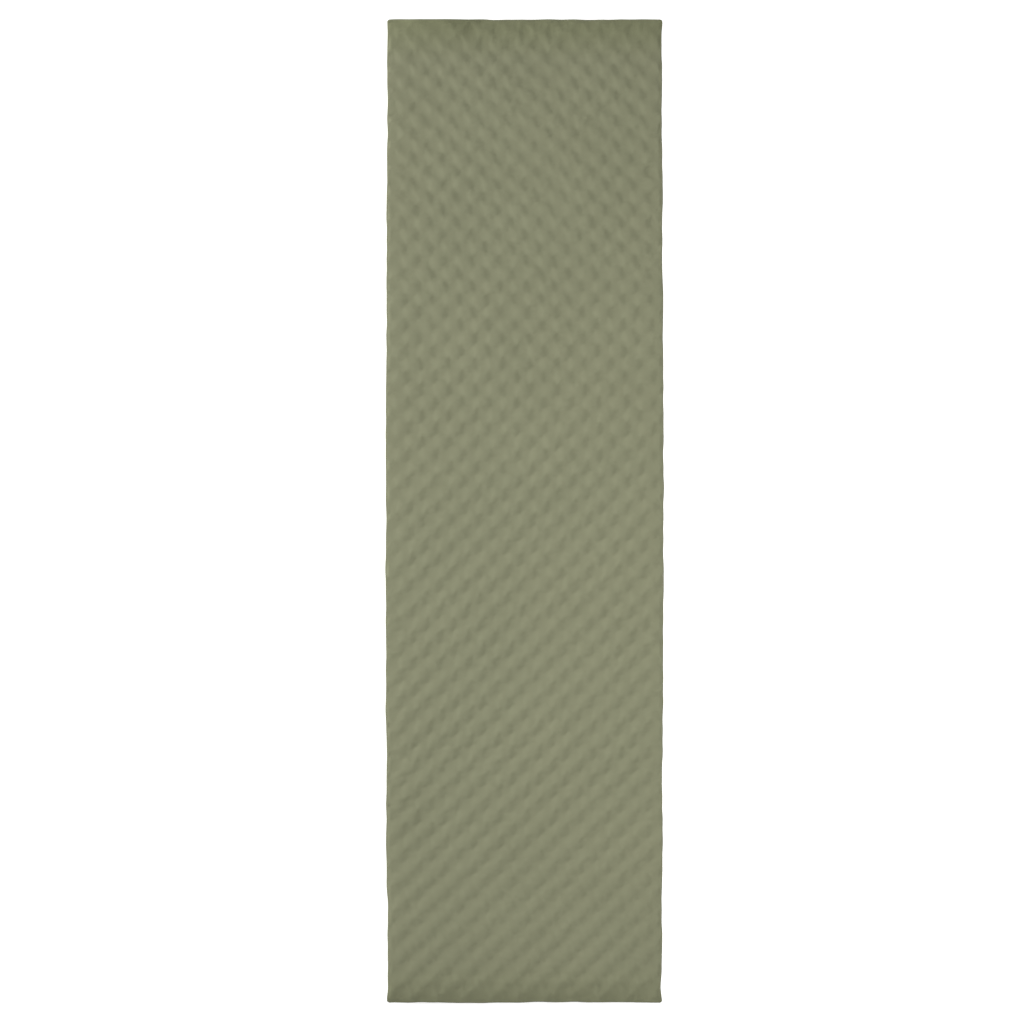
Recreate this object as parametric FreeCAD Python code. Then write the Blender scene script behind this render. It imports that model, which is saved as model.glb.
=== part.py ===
"""Self-inflating sleeping pad: a boxed fabric shell welded round a slab of cored foam, with a twist valve.

Frame, in millimetres: X across the pad, Y along it towards the head end, Z up.
The origin is on the ground, under the middle of the pad.
"""
import FreeCAD, Part
import math
import os

os.makedirs("parts", exist_ok=True)

# Shell. The outline includes the welded lip that stands out all round.
pad_length = 1829.0
pad_width = 514.0
pad_height = 50.0
fabric = 0.5
lip = 4.0
corner_radius = 5.0
corner_fin = 2.2

# Foam slab and the round cores punched through it on a diamond lattice.
foam_gap = 1.5
core_radius = 9.0
core_pitch_x = 50.6
core_pitch_y = 47.6
core_shift_x = 3.4
core_shift_y = -16.2
core_slant = 0.0258
core_margin = 8.0
pocket_width = 52.0
pocket_depth = 26.0

# Valve. Its depths run along its axis, positive outwards from the outer face of the head wall.
valve_x = -170.0
valve_z = pad_height / 2
wall_hole_radius = 13.6
weld_radius = 19.5
weld_thickness = 1.2
neck_radius = 13.2
neck_bore = 11.6
neck_depth = -9.0
barrel_radius = 11.3
barrel_bore = 9.0
barrel_depth = -14.0
bezel_radius = 16.0
bezel_proud = 1.5
bezel_round = 0.7
groove_radius = 10.5
groove_depths = (-6.4, -4.9)
gasket_radius = 11.57

# Seat at the inner end of the barrel, and the spider above it that guides the stem.
seat_depths = (-12.6, -11.0)
seat_bore = 5.8
spider_depths = (-9.9, -8.7)
spider_hub_radius = 3.8
spider_arm_width = 1.8
stem_side = 3.6
stem_hole_side = 3.72

# Dial. It turns a quarter turn and is held in by a snap ring.
dial_radius = 8.92
dial_depths = (-1.6, 0.2)
dial_wing_length = 14.4
dial_wing_width = 2.2
dial_wing_top = 2.8
dial_step_radius = 7.6
dial_step_top = 1.0
dial_round = 0.4
ledge_bore = 8.0
ledge_depths = (-2.7, -1.7)
skirt_radius = 4.9
skirt_bore = 3.0
skirt_end = -8.3
vent_radius = 1.3
vent_circle = 6.5
vent_count = 8
snap_ring_depths = (0.35, 1.0)
snap_ring_bore = 7.8
snap_ring_radius = 9.5
snap_ring_gap = 5.0

# Cam: a pin through the stem rides in a helical slot each side of the dial's skirt.
dial_turn = 90.0
poppet_travel = 3.0
cam_pin_radius = 0.9
cam_pin_reach = 4.6
cam_pin_depth = -3.6
slot_play = 0.12

# Poppet on the lower end of the stem, with its seal.
poppet_depths = (-15.6, -13.7)
poppet_radius = 7.6
seal_depths = (-13.7, -12.62)
seal_radii = (6.0, 7.6)
stem_top = -1.9
spigot_radius = 1.3
barb_radius = 1.9
barb_length = 0.9

# Perforated cup that keeps foam off the poppet. It also traps the neck against the bezel.
guard_wall = 0.9
guard_bore = 11.32
guard_depths = (-21.5, -9.05)
guard_hole_radius = 1.3
guard_rings = ((0.0, 1), (4.2, 6), (8.4, 12))
guard_side_holes = 12

half_width = pad_width / 2
half_length = pad_length / 2
wall_x = half_width - lip
wall_y = half_length - lip


def save(node, shape):
    """Write one sub-part to its own file."""
    shape.exportStep(f"parts/{node}.step")


def point(x, y, z=0.0):
    return FreeCAD.Vector(x, y, z)


def prism(corners, low, high):
    """A closed outline in plan, pulled up from low to high."""
    outline = Part.makePolygon([point(x, y, low) for x, y in corners + corners[:1]])
    return Part.Face(outline).extrude(point(0, 0, high - low))


def plate(half_x, half_y, low, high, radius):
    """A flat slab centred on the origin, with its upright edges rounded."""
    box = Part.makeBox(2 * half_x, 2 * half_y, high - low, point(-half_x, -half_y, low))
    upright = [edge for edge in box.Edges if abs(edge.tangentAt(edge.FirstParameter).z) > 0.9]
    return box.makeFillet(radius, upright)


# Shell: two sheets, and four wall strips that meet in an upright fin at each corner.


def sheet(low):
    return plate(half_width, half_length, low, low + fabric, corner_radius)


def wall_strip(reach, stand_off):
    """A strip along X at y = stand_off, with lips turned outwards top and bottom and a fin at each end."""
    diagonal = fabric / math.sqrt(2)
    right_half = [
        (reach - fabric, stand_off - fabric),
        (reach + corner_fin, stand_off + corner_fin),
        (reach + corner_fin - diagonal, stand_off + corner_fin + diagonal),
        (reach - 2 * diagonal, stand_off),
    ]
    left_half = [(-x, y) for x, y in reversed(right_half)]
    web = prism(right_half + left_half, fabric, pad_height - fabric)
    lip_outline = [
        (reach - fabric, stand_off - fabric),
        (reach + lip, stand_off + lip),
        (-reach - lip, stand_off + lip),
        (-reach + fabric, stand_off - fabric),
    ]
    lips = [
        prism(lip_outline, fabric, 2 * fabric),
        prism(lip_outline, pad_height - 2 * fabric, pad_height - fabric),
    ]
    rounded = plate(reach + lip, stand_off + lip, fabric, pad_height - fabric, corner_radius)
    return web.fuse([each.common(rounded) for each in lips]).removeSplitter()


def turned(shape, degrees):
    copy = shape.copy()
    copy.rotate(point(0, 0), point(0, 0, 1), degrees)
    return copy


# Valve pieces are built about their own axis and then set in the head wall.


def ring(outer, inner, depths):
    """A round tube between two depths."""
    low, high = depths
    tube = Part.makeCylinder(outer, high - low, point(0, 0, low))
    if inner > 0:
        tube = tube.cut(Part.makeCylinder(inner, high - low, point(0, 0, low)))
    return tube


def bar(length, width, depths):
    low, high = depths
    return Part.makeBox(length, width, high - low, point(-length / 2, -width / 2, low))


def around(shape, count):
    """Copies of a shape, evenly spaced round the valve's axis."""
    return [turned(shape, 360.0 * step / count) for step in range(count)]


def outer_rim(tube, depth):
    """The largest circular edge of a tube at one of its ends."""
    circles = [edge for edge in tube.Edges if edge.Closed and abs(edge.CenterOfMass.z - depth) < 0.01]
    return max(circles, key=lambda edge: edge.Length)


def in_wall(shape):
    """Turn a piece so that its axis points out of the head wall, and move it to its place there."""
    placed = shape.copy()
    placed.rotate(point(0, 0), point(1, 0), -90)
    placed.translate(point(valve_x, wall_y, valve_z))
    return placed


def valve_flange():
    """Soft ring welded inside the wall, with a neck that grips the barrel."""
    weld = ring(weld_radius, neck_bore, (-fabric - weld_thickness, -fabric))
    neck = ring(neck_radius, neck_bore, (neck_depth, -fabric))
    return weld.fuse(neck).removeSplitter()


def valve_housing():
    """Barrel with a bezel outside, a ledge under the dial, a guide spider and the valve seat."""
    barrel = ring(barrel_radius, barrel_bore, (barrel_depth, 0.0))
    bezel = ring(bezel_radius, barrel_bore, (0.0, bezel_proud))
    bezel = bezel.makeFillet(bezel_round, [outer_rim(bezel, bezel_proud)])
    ledge = ring(barrel_bore + 0.5, ledge_bore, ledge_depths)
    seat = ring(barrel_bore + 0.5, seat_bore, seat_depths)
    hub = ring(spider_hub_radius, 0, spider_depths)
    arms = around(bar(2 * barrel_bore + 1, spider_arm_width, spider_depths), 2)
    solid = barrel.fuse([bezel, ledge, seat, hub] + arms).removeSplitter()
    snap_groove = ring(snap_ring_radius, barrel_bore - 0.5, snap_ring_depths)
    gasket_groove = ring(barrel_radius + 1, groove_radius, groove_depths)
    stem_hole = bar(stem_hole_side, stem_hole_side, spider_depths)
    return solid.cut([snap_groove, gasket_groove, stem_hole])


def housing_gasket():
    return ring(gasket_radius, groove_radius, groove_depths)


def cam_slot():
    """The space that one end of the cam pin sweeps through in the dial's skirt, with play all round."""
    pitch = poppet_travel * 360.0 / dial_turn
    steepest = math.atan(pitch / (2 * math.pi * skirt_bore))
    half_height = (cam_pin_radius + slot_play) / math.cos(steepest)
    near = skirt_bore - 1
    far = skirt_radius + 1
    helix = Part.makeHelix(pitch, poppet_travel, (near + far) / 2)
    section = Part.makePolygon([
        point(near, 0, -half_height),
        point(far, 0, -half_height),
        point(far, 0, half_height),
        point(near, 0, half_height),
        point(near, 0, -half_height),
    ])
    sweep = Part.BRepOffsetAPI.MakePipeShell(helix)
    sweep.setBiNormalMode(point(0, 0, 1))
    sweep.add(section)
    sweep.build()
    sweep.makeSolid()
    low_end = Part.makeCylinder(half_height, far - near, point(near, 0), point(1, 0))
    high_end = turned(low_end, dial_turn)
    high_end.translate(point(0, 0, poppet_travel))
    slot = sweep.shape().fuse([low_end, high_end])
    slot.rotate(point(0, 0), point(0, 0, 1), -dial_turn)
    slot.translate(point(0, 0, cam_pin_depth - poppet_travel))
    return slot


def dial():
    """Knob disc with a finger wing, vent holes, and a skirt with two cam slots."""
    disc = ring(dial_radius, 0, dial_depths)
    step = ring(dial_step_radius, 0, (dial_depths[0], dial_step_top))
    step = step.makeFillet(dial_round, [outer_rim(step, dial_step_top)])
    skirt = ring(skirt_radius, skirt_bore, (skirt_end, dial_depths[0]))
    vent = Part.makeCylinder(vent_radius, 4, point(vent_circle, 0, -2))
    vents = [turned(each, 180.0 / vent_count) for each in around(vent, vent_count)]
    body = disc.fuse([step, skirt]).cut(vents + around(cam_slot(), 2))
    wing = bar(dial_wing_length, dial_wing_width, (dial_step_top, dial_wing_top))
    ends = [edge for edge in wing.Edges if abs(edge.tangentAt(edge.FirstParameter).z) > 0.9]
    wing = wing.makeFillet(dial_wing_width / 2 - 0.05, ends)
    top = [edge for edge in wing.Edges if abs(edge.CenterOfMass.z - dial_wing_top) < 0.01]
    wing = wing.makeFillet(dial_round, top)
    return body.fuse(wing).removeSplitter()


def snap_ring():
    """Split ring that springs into the barrel's groove over the dial's rim."""
    split = Part.makeBox(snap_ring_radius, snap_ring_gap, 2, point(0, -snap_ring_gap / 2, 0))
    return ring(snap_ring_radius, snap_ring_bore, snap_ring_depths).cut(split)


def valve_stem():
    """Square rod through the spider, with a barbed spigot below that the poppet pushes on to."""
    rod = bar(stem_side, stem_side, (poppet_depths[1], stem_top))
    spigot = ring(spigot_radius, 0, poppet_depths)
    barb = ring(barb_radius, 0, (poppet_depths[0] - barb_length, poppet_depths[0]))
    solid = rod.fuse([spigot, barb]).removeSplitter()
    return solid.cut(cam_pin())


def cam_pin():
    start = point(-cam_pin_reach, 0, cam_pin_depth)
    return Part.makeCylinder(cam_pin_radius, 2 * cam_pin_reach, start, point(1, 0))


def poppet():
    return ring(poppet_radius, spigot_radius, poppet_depths)


def poppet_seal():
    inner, outer = seal_radii
    return ring(outer, inner, seal_depths)


def foam_guard():
    """Perforated cup that snaps over the inner end of the barrel."""
    low, high = guard_depths
    guard_radius = guard_bore + guard_wall
    wall = ring(guard_radius, guard_bore, (low, high))
    base = ring(guard_radius, 0, (low, low + guard_wall))
    hole = Part.makeCylinder(guard_hole_radius, 3, point(0, 0, low - 1))
    holes = []
    for circle, count in guard_rings:
        moved = hole.translated(point(circle, 0))
        holes += around(moved, count)
    side_start = point(0, 0, (low + barrel_depth) / 2)
    side_hole = Part.makeCylinder(guard_hole_radius, 2 * guard_radius, side_start, point(1, 0))
    return wall.fuse(base).removeSplitter().cut(holes + around(side_hole, guard_side_holes))


# Foam slab: cores on a diamond lattice, and a pocket behind the valve.


def core_centres(reach_x, reach_y):
    """Centres of the cores, two to a lattice cell, that lie wholly inside the slab.

    The columns lean a little, as they do where the slab is cut slightly off the line of the punches.
    """
    centres = []
    steps_x = math.ceil(2 * reach_x / core_pitch_x) + 1
    steps_y = math.ceil(2 * reach_y / core_pitch_y) + 1
    for row in range(-steps_y, steps_y + 1):
        for column in range(-steps_x, steps_x + 1):
            if (row + column) % 2 == 0:
                y = row * core_pitch_y / 2 + core_shift_y
                x = column * core_pitch_x / 2 + core_shift_x - core_slant * y
                clear = core_radius + core_margin
                if abs(x) < reach_x - clear and abs(y) < reach_y - clear:
                    centres.append((x, y))
    return centres


def foam_core():
    reach_x = wall_x - fabric - foam_gap
    reach_y = wall_y - fabric - foam_gap
    pocket_low = wall_y - pocket_depth
    pocket_left = valve_x - pocket_width / 2
    pocket_right = valve_x + pocket_width / 2
    outline = Part.makePolygon([
        point(-reach_x, -reach_y, fabric),
        point(reach_x, -reach_y, fabric),
        point(reach_x, reach_y, fabric),
        point(pocket_right, reach_y, fabric),
        point(pocket_right, pocket_low, fabric),
        point(pocket_left, pocket_low, fabric),
        point(pocket_left, reach_y, fabric),
        point(-reach_x, reach_y, fabric),
        point(-reach_x, -reach_y, fabric),
    ])
    near = core_radius + core_margin
    wires = [outline]
    for x, y in core_centres(reach_x, reach_y):
        beside_pocket = pocket_left - near < x < pocket_right + near and y > pocket_low - near
        if not beside_pocket:
            circle = Part.makeCircle(core_radius, point(x, y, fabric))
            wires.append(Part.Wire(circle))
    face = Part.makeFace(wires, "Part::FaceMakerBullseye")
    return face.extrude(point(0, 0, pad_height - 2 * fabric))


valve_hole = in_wall(ring(wall_hole_radius, 0, (-2.0, 1.0)))
head_wall = wall_strip(wall_x, wall_y)

save("top_sheet", sheet(pad_height - fabric))
save("bottom_sheet", sheet(0.0))
save("head_wall", head_wall.cut(valve_hole))
save("foot_wall", turned(head_wall, 180))
save("right_wall", turned(wall_strip(wall_y, wall_x), -90))
save("left_wall", turned(wall_strip(wall_y, wall_x), 90))
save("foam_core", foam_core())
save("valve_flange", in_wall(valve_flange()))
save("valve_housing", in_wall(valve_housing()))
save("housing_gasket", in_wall(housing_gasket()))
save("dial", in_wall(dial()))
save("snap_ring", in_wall(snap_ring()))
save("valve_stem", in_wall(valve_stem()))
save("cam_pin", in_wall(cam_pin()))
save("poppet", in_wall(poppet()))
save("poppet_seal", in_wall(poppet_seal()))
save("foam_guard", in_wall(foam_guard()))
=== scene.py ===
import math

import bmesh
import bpy
from mathutils import Matrix, Vector, noise


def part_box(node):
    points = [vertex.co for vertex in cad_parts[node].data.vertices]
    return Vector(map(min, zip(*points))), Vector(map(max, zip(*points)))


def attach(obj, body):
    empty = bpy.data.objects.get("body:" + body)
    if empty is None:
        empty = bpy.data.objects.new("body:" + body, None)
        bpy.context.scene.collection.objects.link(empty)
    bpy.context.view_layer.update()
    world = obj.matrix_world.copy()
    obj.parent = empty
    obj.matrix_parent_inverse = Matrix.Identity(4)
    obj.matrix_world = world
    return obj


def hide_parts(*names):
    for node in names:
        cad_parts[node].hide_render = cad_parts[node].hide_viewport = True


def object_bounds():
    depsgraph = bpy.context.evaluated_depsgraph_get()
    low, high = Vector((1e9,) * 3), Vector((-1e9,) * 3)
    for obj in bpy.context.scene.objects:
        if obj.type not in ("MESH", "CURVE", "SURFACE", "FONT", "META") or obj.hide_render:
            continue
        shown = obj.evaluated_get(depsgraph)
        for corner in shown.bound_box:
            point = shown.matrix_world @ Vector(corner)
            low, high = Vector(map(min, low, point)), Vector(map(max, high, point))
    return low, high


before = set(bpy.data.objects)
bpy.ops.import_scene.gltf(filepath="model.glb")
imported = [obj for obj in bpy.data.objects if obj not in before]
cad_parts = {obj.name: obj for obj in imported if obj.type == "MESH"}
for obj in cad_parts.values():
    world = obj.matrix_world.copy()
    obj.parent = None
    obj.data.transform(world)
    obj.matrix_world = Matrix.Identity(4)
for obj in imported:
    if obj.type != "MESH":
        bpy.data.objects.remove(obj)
cad_low, cad_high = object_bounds()


# Top sheet
# Knitted polyester laminated with polyurethane, glued to the foam. Air lifts it into a low bump over
# each core that is punched through the foam, and its edge is welded to the walls in a lip all round.
half_width = cad_high.x
half_length = cad_high.y
full_height = cad_high.z
lip = 0.004
cloth = 0.0004
corner_round = 0.005
corner_cut = lip / 2 * 0.9
weave_step = 0.0045

cell_across = 0.0506
cell_along = 0.0476
first_bump = Vector((0.0034, -0.0162))
cell_lean = 0.0258
drift_across = 0.0046
drift_along = 0.0050
drift_length = 1.9
bump_rise = 0.0012
uneven_rise = 0.35
uneven_length = 0.09
rising_at_foot = 1.1
rising_fade = 0.6
falling_at_head = 0.75
falling_growth = 0.85
glued_below = 0.40
most_pressed = 0.0020
frames_pressed = 20


def eased(value, start, end):
    """0 before start, 1 after end, and a smooth step between them."""
    share = min(max((value - start) / (end - start), 0.0), 1.0)
    return share * share * (3 - 2 * share)


def bump(x, y):
    """Height of the sheet over the glued lands: about 0 on a land and 1 over the middle of a core.

    The bumps are two sets of low diagonal ridges that cross. One set fades towards the head, and the
    other grows towards the foot.
    """
    drift = drift_along * math.sin(math.tau * y / drift_length)
    across = x - first_bump.x + cell_lean * y + drift_across * (y / half_length) ** 2
    along = y - first_bump.y - drift
    rising = math.cos(math.tau * (across / cell_across - along / cell_along))
    falling = math.cos(math.tau * (across / cell_across + along / cell_along))
    rising_share = rising_at_foot - rising_fade * eased(y, -0.10, 0.70)
    falling_share = falling_at_head + falling_growth * eased(-y, 0.45, 0.90)
    wave = (rising_share * rising + falling_share * falling) / 2
    patch = 1 + uneven_rise * noise.noise(Vector((x / uneven_length, y / uneven_length, 3.7)))
    return (0.5 + 0.5 * wave) * patch


valve_low, valve_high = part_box("valve_housing")
valve = (valve_low + valve_high) / 2
valve_clear = 0.020
valve_fade = 0.090
valve_still_from = 0.10
valve_still_to = 0.04
valve_droop_share = 0.3
valve_fold_from = 0.80
barrel_end = 0.0028
barrel_middle = 0.0012
edge_ripple = 0.0013
edge_reach = 0.045
slow_ripple = 0.085
quick_ripple = 0.031
ear_out = 0.0023
ear_along = 0.0005
ear_reach = 0.030
end_slope_droop = 0.0032
end_slope_reach = 0.165
end_round_droop = 0.0060
end_round_reach = 0.045
head_droop = 0.0032
head_reach = 0.062
rim_droop = 0.0004
rim_reach = 0.009
swell = 0.0012
swell_reach = 0.30


def ripple(along, seed):
    """How far the welded edge wanders in or out at a place along it."""
    slow = noise.noise(Vector((along / slow_ripple, seed, 0.3)))
    quick = noise.noise(Vector((along / quick_ripple, seed, 8.1)))
    return edge_ripple * (1.3 * slow + 0.9 * quick)


def filled(point):
    """Where a point of the plain flat-sided box lies once the shell is full of air.

    The cloth next to the valve stays where the stiff valve holds it.
    """
    x, y, z = point
    side = math.copysign(1, x)
    end = math.copysign(1, y)
    near_side = eased(abs(x), half_width - edge_reach, half_width)
    near_end = eased(abs(y), half_length - edge_reach, half_length)
    valve_space = 1.0
    if y > 0:
        valve_space = eased(abs(x - valve.x), valve_clear, valve_fade)

    widest = math.cos(math.pi / 2 * y / half_length)
    sideways = (barrel_middle + barrel_end) * widest - barrel_end
    at_valve_end = eased(y, half_length - valve_still_from, half_length - valve_still_to)
    still = 1 - (1 - valve_space) * at_valve_end
    new_x = x + side * still * (sideways * abs(x) / half_width + near_side * ripple(y, 5.2 * side))
    new_y = y + end * near_end * valve_space * ripple(x, 2.6 * end + 9)

    past_x = abs(x) - (half_width - corner_round)
    past_y = abs(y) - (half_length - corner_round)
    if past_x > 0 and past_y > 0:
        drawn_in = 1 - max(past_x, past_y) / math.hypot(past_x, past_y)
        new_x -= side * drawn_in * past_x
        new_y -= end * drawn_in * past_y
    to_corner = math.hypot(half_width - abs(x), half_length - abs(y))
    pull = 1 - eased(to_corner, 0, ear_reach)
    new_x += side * ear_out * pull
    new_y += end * ear_along * pull

    height = max(z, 0.0) / (full_height - 2 * cloth)
    lifted = eased(height, valve_fold_from if valve_space < 1 else 0.0, 1.0)
    from_end = half_length - abs(y)
    droop = end_slope_droop * max(1 - from_end / end_slope_reach, 0) ** 2
    droop += end_round_droop * max(1 - from_end / end_round_reach, 0) ** 2
    if y > 0:
        droop += head_droop * max(1 - from_end / head_reach, 0) ** 2
    droop *= valve_droop_share + (1 - valve_droop_share) * valve_space
    wander = swell * noise.noise(Vector((x / swell_reach, y / swell_reach, 1.9)))
    rim = rim_droop * max(eased(abs(x), half_width - rim_reach, half_width), near_end ** 3)
    land = -bump_rise * (1 - bump(x, y))
    new_z = z + lifted * (land - droop - rim + wander)
    return Vector((new_x, new_y, new_z))


def cut_sheet(z, facing):
    """A rectangle of cloth with rounded corners and a fold line along its lip, facing up or down."""
    bm = bmesh.new()
    columns = round(2 * half_width / weave_step)
    rows = round(2 * half_length / weave_step)
    bmesh.ops.create_grid(bm, x_segments=columns, y_segments=rows, size=1)
    bmesh.ops.scale(bm, vec=(half_width, half_length, 1), verts=bm.verts)
    for inset in (lip, lip / 2):
        for axis, reach in ((Vector((1, 0, 0)), half_width), (Vector((0, 1, 0)), half_length)):
            for sign in (-1, 1):
                parts = bm.verts[:] + bm.edges[:] + bm.faces[:]
                place = axis * sign * (reach - inset)
                bmesh.ops.bisect_plane(bm, geom=parts, dist=1e-6, plane_co=place, plane_no=axis)
    corners = [v for v in bm.verts if len(v.link_edges) == 2]
    bmesh.ops.bevel(
        bm, geom=corners, offset=corner_cut, segments=3, profile=0.5, affect="VERTICES", material=-1
    )
    bmesh.ops.translate(bm, vec=(0, 0, z), verts=bm.verts)
    if facing < 0:
        bmesh.ops.reverse_faces(bm, faces=bm.faces)
    return bm


def lay_out(bm, flat):
    """Give each corner of each face its place on the flat cut cloth, in metres."""
    layer = bm.loops.layers.uv.new("Cut")
    for face in bm.faces:
        for loop in face.loops:
            loop[layer].uv = flat(loop.vert.co)


def piece(name, bm, finish):
    """A finished mesh as an object at the origin, smooth shaded."""
    mesh = bpy.data.meshes.new(name)
    bm.to_mesh(mesh)
    bm.free()
    mesh.shade_smooth()
    mesh.materials.append(finish)
    made = bpy.data.objects.new(name, mesh)
    bpy.context.scene.collection.objects.link(made)
    return made


def press_out(made, held, most):
    """Cloth simulation of a sheet under the pad's air pressure, with its glued and welded points held.

    No point moves more than the distance given. The result goes into the mesh, and no modifier stays.
    """
    group = made.vertex_groups.new(name="held")
    group.add(held, 1.0, "REPLACE")
    air = made.modifiers.new("air pressure", "CLOTH")
    air.settings.quality = 6
    air.settings.mass = 0.2
    air.settings.tension_stiffness = 12
    air.settings.compression_stiffness = 12
    air.settings.shear_stiffness = 6
    air.settings.bending_stiffness = 0.4
    air.settings.shrink_min = -0.008
    air.settings.use_pressure = True
    air.settings.uniform_pressure_force = 4
    air.settings.vertex_group_mass = group.name
    air.settings.effector_weights.gravity = 0
    air.collision_settings.use_collision = False
    air.collision_settings.use_self_collision = False
    for frame_number in range(1, frames_pressed + 1):
        bpy.context.scene.frame_set(frame_number)
    settled = made.evaluated_get(bpy.context.evaluated_depsgraph_get()).data
    moved = []
    for vert, pressed in zip(made.data.vertices, settled.vertices):
        step = pressed.co - vert.co
        moved.append(vert.co + step * min(1.0, most / max(step.length, 1e-9)))
    made.modifiers.remove(air)
    made.vertex_groups.remove(group)
    for vert, place in zip(made.data.vertices, moved):
        vert.co = place
    bpy.context.scene.frame_set(1)


def thicken(made, thickness):
    """Cloth thickness, added on the inner side."""
    wall = made.modifiers.new("cloth thickness", "SOLIDIFY")
    wall.thickness = thickness
    wall.offset = -1
    wall.use_even_offset = False
    return made


class Signal:
    """A number that varies over a surface. Arithmetic on it adds Math nodes to its material."""

    def __init__(self, finish, socket):
        self.finish = finish
        self.socket = socket

    def math(self, operation, *values):
        numbered = dict(enumerate(values))
        node = self.finish.node("ShaderNodeMath", {"operation": operation}, numbered)
        return Signal(self.finish, node.outputs[0])

    def __add__(self, other):
        return self.math("ADD", self, other)

    def __radd__(self, other):
        return self.math("ADD", other, self)

    def __sub__(self, other):
        return self.math("SUBTRACT", self, other)

    def __rsub__(self, other):
        return self.math("SUBTRACT", other, self)

    def __mul__(self, other):
        return self.math("MULTIPLY", self, other)

    def __rmul__(self, other):
        return self.math("MULTIPLY", other, self)

    def __truediv__(self, other):
        return self.math("DIVIDE", self, other)

    def __abs__(self):
        return self.math("ABSOLUTE", self)

    def sine(self):
        return self.math("SINE", self)

    def above(self, level):
        return self.math("GREATER_THAN", self, level)

    def larger(self, other):
        return self.math("MAXIMUM", self, other)


class Finish:
    """One material, built round its Principled shader."""

    def __init__(self, name, uniform):
        self.material = bpy.data.materials.new(name)
        self.material.use_nodes = True
        self.nodes = self.material.node_tree.nodes
        self.links = self.material.node_tree.links
        self.shader = self.nodes["Principled BSDF"]
        for socket, value in uniform.items():
            self.feed(self.shader.inputs[socket], value)

    def feed(self, socket, value):
        """Set a socket, or link it where the value is a signal or another node's output."""
        if isinstance(value, Signal):
            value = value.socket
        if isinstance(value, bpy.types.NodeSocket):
            self.links.new(value, socket)
        else:
            socket.default_value = value

    def node(self, kind, settings, inputs):
        """Any node: its settings go in first, and then the values or links of its sockets."""
        node = self.nodes.new(kind)
        for name, value in settings.items():
            setattr(node, name, value)
        for name, value in inputs.items():
            self.feed(node.inputs[name], value)
        return node

    def cut(self):
        """Place on the flat cut cloth, along and across, in metres."""
        uv = self.node("ShaderNodeUVMap", {"uv_map": "Cut"}, {})
        split = self.node("ShaderNodeSeparateXYZ", {}, {0: uv.outputs[0]})
        return Signal(self, split.outputs[0]), Signal(self, split.outputs[1])

    def place(self):
        return self.node("ShaderNodeTexCoord", {}, {}).outputs["Object"]

    def noise(self, scale, detail=2.0, where=None):
        """Even random patches, from 0 to 1, with about that many to the metre."""
        inputs = {"Vector": where or self.place(), "Scale": scale, "Detail": detail}
        return Signal(self, self.node("ShaderNodeTexNoise", {}, inputs).outputs[0])

    def mix(self, share, first, second):
        """A colour between two, by share."""
        node = self.node("ShaderNodeMix", {"data_type": "RGBA"}, {0: share, 6: first, 7: second})
        return node.outputs[2]

    def emboss(self, height, depth):
        """Feed a height from 0 to 1 to the surface's normal, as relief of that depth in metres."""
        bumps = self.node("ShaderNodeBump", {}, {"Height": height, "Distance": depth, "Strength": 1.0})
        self.feed(self.shader.inputs["Normal"], bumps.outputs[0])


def threads(finish, pitch):
    """Relief of a plain weave on the flat cut cloth: warp over weft, by turns."""
    along, across = finish.cut()
    warp = (along * (math.pi / pitch)).sine()
    weft = (across * (math.pi / pitch)).sine()
    over = (warp * weft).above(0)
    return over * (1 - abs(warp) * 0.9) + (1 - over) * (1 - abs(weft) * 0.9)


warm = (0.165, 0.152, 0.088, 1)
warm_share = 0.16
# Painted shade: a darker colour over the last 75 mm towards each end of the top, where the light falls
# off.
painted_end_shade = (0.121, 0.128, 0.065, 1)
end_shade_reach = 0.075
thread_pitch = 0.0006


def shell_cloth(name, dark, light, reach_along, reach_across, head_shade=0.0, foot_shade=0.0):
    """Matt laminated cloth, with a fine weave, faint patches, a pressed band along the welded lip and
    painted shade darkening the outermost edge of the lip.

    The two end shares set how much painted shade darkens the cloth towards the head and foot ends, where
    the light falls off.
    """
    finish = Finish(name, {"Sheen Weight": 0.12, "Sheen Roughness": 0.45, "Specular IOR Level": 0.32})
    weave = threads(finish, thread_pitch)
    patches = finish.noise(9.0, 3.0)
    flecks = finish.noise(900.0, 2.0)
    along, across = finish.cut()
    from_edge = (abs(along) - reach_along).larger(abs(across) - reach_across)
    welded = from_edge.above(-lip)
    # rim marks the outermost 2 mm of the lip, darkened with painted shade as a dark line along the edge.
    rim = from_edge.above(-lip / 2)
    tone = patches * 0.55 + flecks * 0.25 + weave * 0.20 - welded * 0.15 - rim * 0.45
    faded = finish.mix(finish.noise(4.0, 2.0) * warm_share, finish.mix(tone, dark, light), warm)
    inside = reach_across - end_shade_reach
    to_head = ((across - inside) / end_shade_reach).larger(0)
    to_foot = ((0 - across - inside) / end_shade_reach).larger(0)
    # Painted shade: the cloth darkens towards the head and foot ends.
    end_shaded = finish.mix(to_head * head_shade + to_foot * foot_shade, faded, painted_end_shade)
    finish.feed(finish.shader.inputs["Base Color"], end_shaded)
    finish.feed(finish.shader.inputs["Roughness"], 0.72 + flecks * 0.12 - welded * 0.10)
    finish.emboss(weave * (1 - welded * 0.6) + flecks * 0.5, 0.00012)
    return finish.material


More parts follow.
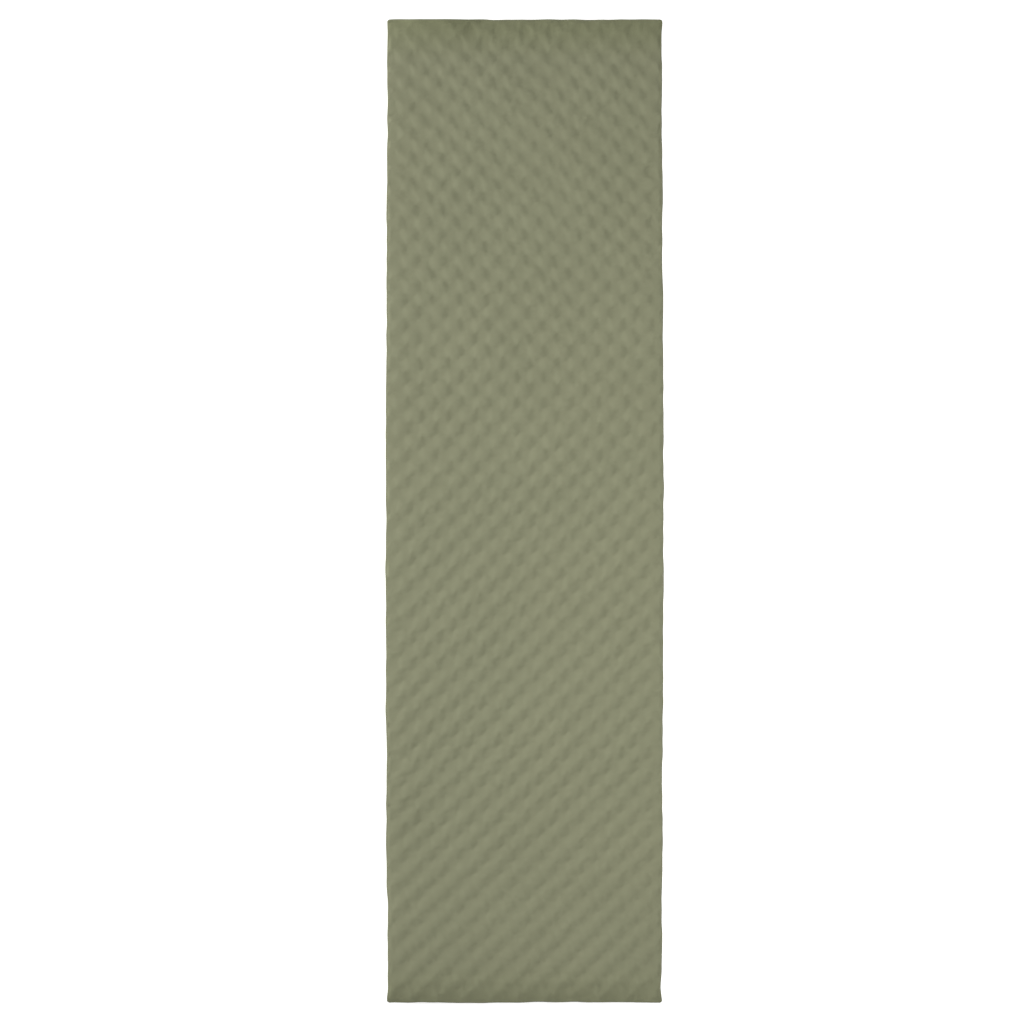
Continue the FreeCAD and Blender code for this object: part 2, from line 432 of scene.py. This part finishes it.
top_cloth = shell_cloth(
    "olive top cloth",
    (0.126, 0.131, 0.077, 1),
    (0.162, 0.168, 0.102, 1),
    half_width,
    half_length,
    # The top's ends are darkened with painted shade, more at the head than at the foot.
    head_shade=0.90,
    foot_shade=0.35,
)
top_bm = cut_sheet(full_height, 1)
lay_out(top_bm, lambda co: (co.x, co.y))
top_bm.verts.index_update()
top_held = []
for vert in top_bm.verts:
    on_weld = max(abs(vert.co.x) - half_width, abs(vert.co.y) - half_length) > -lip * 1.01
    if on_weld or bump(vert.co.x, vert.co.y) < glued_below:
        top_held.append(vert.index)
    vert.co = filled(vert.co)
top_sheet = piece("top_sheet_cloth", top_bm, top_cloth)
press_out(top_sheet, top_held, most_pressed)
thicken(top_sheet, cloth)
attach(top_sheet, "pad")
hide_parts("top_sheet")


# Bottom sheet
# A darker laminate, printed with small silicone dots that keep the pad from sliding on a tent floor.
# It lies flat on the ground, and its edge is welded to the walls like the top sheet's.
dot_pitch = 0.014
dot_radius = 0.0024
base_thread_pitch = 0.0007


def base_cloth():
    """Matt dark laminate with a coarser weave and a lattice of shinier printed dots."""
    finish = Finish("charcoal olive base cloth", {"Specular IOR Level": 0.35})
    weave = threads(finish, base_thread_pitch)
    patches = finish.noise(7.0, 3.0)
    along, across = finish.cut()
    turns = math.tau / dot_pitch
    lattice = (along * turns).sine() * (across * turns).sine()
    dots = lattice.above(math.cos(math.tau * dot_radius / dot_pitch) ** 2)
    bare = finish.mix(patches, (0.042, 0.045, 0.034, 1), (0.062, 0.065, 0.048, 1))
    finish.feed(finish.shader.inputs["Base Color"], finish.mix(dots, bare, (0.012, 0.012, 0.012, 1)))
    finish.feed(finish.shader.inputs["Roughness"], 0.78 - dots * 0.38)
    finish.emboss(weave * 0.4 + dots, 0.00018)
    return finish.material


bottom_bm = cut_sheet(0, -1)
lay_out(bottom_bm, lambda co: (co.x, co.y))
for vert in bottom_bm.verts:
    vert.co = filled(vert.co)
bottom_sheet = thicken(piece("bottom_sheet_cloth", bottom_bm, base_cloth()), cloth)
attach(bottom_sheet, "pad")
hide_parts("bottom_sheet")


# Walls
# Four upright strips of the same cloth as the top. Each is folded outwards top and bottom into the
# welded lips. Neighbours are mitred and welded together at the corners, which are drawn a little out.
wall_bulge = 0.0010
wall_press = 0.0022
wall_rows = 10
corner_blend = 0.03
bezel_clear = 0.020
bezel_fade = 0.050
fold_zone = 0.0015
least_free = 0.02
valve_hole = 0.0136
cut_within = 0.8 * valve_hole
rounded_within = 1.6 * valve_hole


def wall_strip(reach, stand_off):
    """A strip along X whose outer face is at y = stand_off, mitred at 45 degrees at both ends."""
    bm = bmesh.new()
    fold = 2 * cloth
    profile = [(lip, full_height - fold), (lip / 2, full_height - fold)]
    for row in range(wall_rows + 1):
        height = full_height - fold - (full_height - 2 * fold) * row / wall_rows
        profile.append((0.0, height))
    profile += [(lip / 2, fold), (lip, fold)]
    line = [bm.verts.new((-1, stand_off + out, height)) for out, height in profile]
    edges = [bm.edges.new(pair) for pair in zip(line, line[1:])]
    pulled = bmesh.ops.extrude_edge_only(bm, edges=edges)["geom"]
    far = [part for part in pulled if isinstance(part, bmesh.types.BMVert)]
    bmesh.ops.translate(bm, vec=(2, 0, 0), verts=far)
    long_edges = [e for e in bm.edges if abs(e.verts[0].co.x - e.verts[1].co.x) > 1]
    cuts = round(2 * reach / weave_step)
    bmesh.ops.subdivide_edges(bm, edges=long_edges, cuts=cuts, use_grid_fill=True)
    for vert in bm.verts:
        vert.co.x *= reach + vert.co.y - stand_off
    bmesh.ops.recalc_face_normals(bm, faces=bm.faces)
    web = next(f for f in bm.faces if abs(f.normal.y) > 0.9)
    if web.normal.y < 0:
        bmesh.ops.reverse_faces(bm, faces=bm.faces)
    return bm


def open_valve_hole(bm, centre_x):
    """Cut away the cloth behind the valve and draw the cut edge round to a circle."""
    def from_valve(co):
        return Vector((co.x - centre_x, 0, co.z - valve.z))

    inner = [v for v in bm.verts if from_valve(v.co).length < cut_within]
    bmesh.ops.delete(bm, geom=inner, context="VERTS")
    for vert in bm.verts:
        away = from_valve(vert.co)
        if vert.is_boundary and away.length < rounded_within:
            rounded = away.normalized() * valve_hole
            vert.co.x = centre_x + rounded.x
            vert.co.z = valve.z + rounded.z


wall_x = half_width - lip
wall_y = half_length - lip
walls = (
    ("head_wall", wall_x, wall_y, 0),
    ("foot_wall", wall_x, wall_y, 180),
    ("right_wall", wall_y, wall_x, -90),
    ("left_wall", wall_y, wall_x, 90),
)
for node, reach, stand_off, turn in walls:
    bm = wall_strip(reach, stand_off)
    if node == "head_wall":
        open_valve_hole(bm, valve.x)
    lay_out(bm, lambda co: (co.x, co.z - full_height / 2 + co.y - stand_off))
    spin = Matrix.Rotation(math.radians(turn), 3, "Z")
    bm.verts.index_update()
    wall_held = []
    for vert in bm.verts:
        flat = vert.co.copy()
        ease = eased(reach - abs(flat.x), 0.0, corner_blend)
        if node == "head_wall":
            from_valve = math.hypot(flat.x - valve.x, flat.z - valve.z)
            ease *= eased(from_valve, bezel_clear, bezel_fade)
        arch = math.sin(math.pi * min(max(flat.z / full_height, 0), 1)) ** 0.7
        on_web = flat.y < stand_off + lip / 4
        near_fold = min(flat.z, full_height - flat.z) < fold_zone
        if near_fold or not on_web or ease < least_free:
            wall_held.append(vert.index)
        vert.co = filled(spin @ flat)
        if on_web:
            vert.co += spin @ Vector((0, wall_bulge * ease * arch, 0))
    cloth_name = node.replace("_", " ") + " cloth"
    # Painted shade: the walls take the top's cloth in a slightly darker colour, for the shade on the
    # upright sides.
    shaded_wall_cloth = shell_cloth(
        cloth_name, (0.117, 0.121, 0.075, 1), (0.151, 0.156, 0.099, 1), reach + lip, full_height / 2 + lip
    )
    wall = piece(node + "_cloth", bm, shaded_wall_cloth)
    press_out(wall, wall_held, wall_press)
    thicken(wall, cloth)
    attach(wall, "pad")
    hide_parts(node)


# Foam slab
# Open-cell polyurethane foam, punched with round cores and cut back behind the valve. It is glued to
# both sheets, and its upper face follows the lands of the top sheet between the bumps.
glue_gap = 0.0012
side_gap = 0.0014
side_blend = 0.04
cuts_by_length = ((0.8, 40), (0.2, 9), (0.06, 2))
longest_flat = 0.025
foam_copy = bmesh.new()
foam_copy.from_mesh(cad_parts["foam_core"].data)
bmesh.ops.remove_doubles(foam_copy, verts=foam_copy.verts, dist=1e-5)
for longest, cuts in cuts_by_length:
    long_edges = [e for e in foam_copy.edges if e.calc_length() > longest]
    bmesh.ops.subdivide_edges(foam_copy, edges=long_edges, cuts=cuts)
flat_edges = []
for edge in foam_copy.edges:
    start, end = (v.co for v in edge.verts)
    if edge.calc_length() > longest_flat and abs(start.z - end.z) < 1e-4:
        flat_edges.append(edge)
bmesh.ops.subdivide_edges(foam_copy, edges=flat_edges, cuts=1)
for vert in foam_copy.verts:
    x, y, z = vert.co
    swollen = filled(Vector((x, y, full_height)))
    lands = swollen.z - bump_rise * bump(x, y) - glue_gap
    near_side = eased(abs(x), half_width - side_blend, half_width - lip)
    near_end = eased(abs(y), half_length - side_blend, half_length - lip)
    vert.co.x = swollen.x - math.copysign(side_gap, x) * near_side
    vert.co.y = swollen.y - math.copysign(side_gap, y) * near_end
    if z > full_height / 2:
        vert.co.z = lands


def foam_finish():
    """Matt cream foam whose open cells show as fine pits."""
    finish = Finish("cream open-cell foam", {"Specular IOR Level": 0.2})
    cells = finish.noise(1400.0, 2.0)
    patches = finish.noise(20.0)
    colour = finish.mix(cells * 0.7 + patches * 0.3, (0.60, 0.54, 0.38, 1), (0.82, 0.77, 0.60, 1))
    finish.feed(finish.shader.inputs["Base Color"], colour)
    finish.feed(finish.shader.inputs["Roughness"], 0.85 + cells * 0.1)
    finish.emboss(cells, 0.0004)
    return finish.material


foam_slab = piece("foam_slab", foam_copy, foam_finish())
for polygon in foam_slab.data.polygons:
    polygon.use_smooth = False
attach(foam_slab, "pad")
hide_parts("foam_core")


# Valve
# A moulded nylon barrel and bezel, gripped by a soft welded ring, with a quarter-turn dial outside
# and a sprung-in ring, stem, steel pin, poppet and seals inside. All keep their CAD shape.
def moulded(name, dark, light, roughness, grain_depth):
    """Moulded plastic or rubber with a fine spark-eroded grain and faint handling marks."""
    finish = Finish(name, {})
    grain = finish.noise(2600.0, 3.0)
    marks = finish.noise(120.0, 4.0)
    finish.feed(finish.shader.inputs["Base Color"], finish.mix(marks, dark, light))
    finish.feed(finish.shader.inputs["Roughness"], roughness + (marks - 0.5) * 0.22)
    finish.emboss(grain, grain_depth)
    return finish.material


def drawn_steel():
    """Bright pin steel with fine uneven polish."""
    finish = Finish("drawn steel pin", {"Metallic": 1.0})
    lines = finish.noise(3000.0, 2.0)
    colour = finish.mix(lines, (0.42, 0.42, 0.41, 1), (0.62, 0.62, 0.60, 1))
    finish.feed(finish.shader.inputs["Base Color"], colour)
    finish.feed(finish.shader.inputs["Roughness"], 0.28 + lines * 0.15)
    finish.emboss(lines, 0.00001)
    return finish.material


housing_nylon = moulded("black nylon", (0.030, 0.031, 0.030, 1), (0.050, 0.051, 0.048, 1), 0.50, 0.00004)
dial_nylon = moulded("grey-green nylon", (0.085, 0.090, 0.068, 1), (0.120, 0.125, 0.098, 1), 0.42, 0.00003)
natural_nylon = moulded("natural nylon", (0.48, 0.47, 0.42, 1), (0.60, 0.59, 0.54, 1), 0.40, 0.00002)
weld_ring = moulded("olive weld ring", (0.105, 0.110, 0.078, 1), (0.135, 0.140, 0.100, 1), 0.48, 0.00003)
seal_rubber = moulded("seal rubber", (0.018, 0.018, 0.018, 1), (0.032, 0.032, 0.031, 1), 0.62, 0.00002)
valve_finishes = {
    "valve_housing": housing_nylon,
    "foam_guard": housing_nylon,
    "snap_ring": housing_nylon,
    "dial": dial_nylon,
    "valve_stem": natural_nylon,
    "poppet": natural_nylon,
    "cam_pin": drawn_steel(),
    "valve_flange": weld_ring,
    "housing_gasket": seal_rubber,
    "poppet_seal": seal_rubber,
}
for node, finish in valve_finishes.items():
    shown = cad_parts[node]
    shown.data.materials.clear()
    shown.data.materials.append(finish)


# Studio
# A white floor that glows faintly, an even white surround, one large soft lamp above and to the
# right, and one low and far off on the left, beyond the head end, which draws the bumps.
floor_gap = 0.0006


def pale_floor():
    """Matt white, with a glow that washes out the shadow round the pad."""
    white = (1, 1, 1, 1)
    glow = {"Emission Color": white, "Emission Strength": 0.5}
    finish = Finish("pale floor", {"Roughness": 0.9, "Specular IOR Level": 0.1, **glow})
    finish.feed(finish.shader.inputs["Base Color"], (0.93, 0.93, 0.93, 1))
    return finish.material


floor_bm = bmesh.new()
bmesh.ops.create_circle(floor_bm, cap_ends=True, segments=64, radius=14)
bmesh.ops.translate(floor_bm, vec=(0, 0, cad_low.z - floor_gap), verts=floor_bm.verts)
floor = piece("floor", floor_bm, pale_floor())

world = bpy.data.worlds.new("studio")
world.use_nodes = True
world.node_tree.nodes["Background"].inputs["Color"].default_value = (1, 1, 1, 1)
world.node_tree.nodes["Background"].inputs["Strength"].default_value = 0.42
bpy.context.scene.world = world
bpy.context.scene.view_settings.view_transform = "Standard"


def soft_lamp(name, place, aim, width, height, power):
    """A rectangular soft lamp that points at a place, and that the camera doesn't see."""
    lamp = bpy.data.lights.new(name, "AREA")
    lamp.shape = "RECTANGLE"
    lamp.size = width
    lamp.size_y = height
    lamp.energy = power
    made = bpy.data.objects.new(name, lamp)
    made.location = place
    made.rotation_mode = "QUATERNION"
    made.rotation_quaternion = (Vector(aim) - Vector(place)).to_track_quat("-Z", "Y")
    made.visible_camera = False
    bpy.context.scene.collection.objects.link(made)


soft_lamp("overhead lamp", (0.75, -0.3, 1.9), (0.1, 0, 0), 1.6, 2.8, 50)
soft_lamp("left lamp", (-4.2, 1.2, 1.0), (0, 0.1, 0), 1.0, 1.0, 360)

view_width = 1.9026
lens_distance = 8.0
camera = bpy.data.objects.new("camera", bpy.data.cameras.new("camera"))
camera.data.sensor_width = 36
camera.data.lens = camera.data.sensor_width * lens_distance / view_width
camera.data.clip_end = 100
camera.location = (-0.0234, -0.0019, full_height + lens_distance)
bpy.context.scene.collection.objects.link(camera)
bpy.context.scene.camera = camera
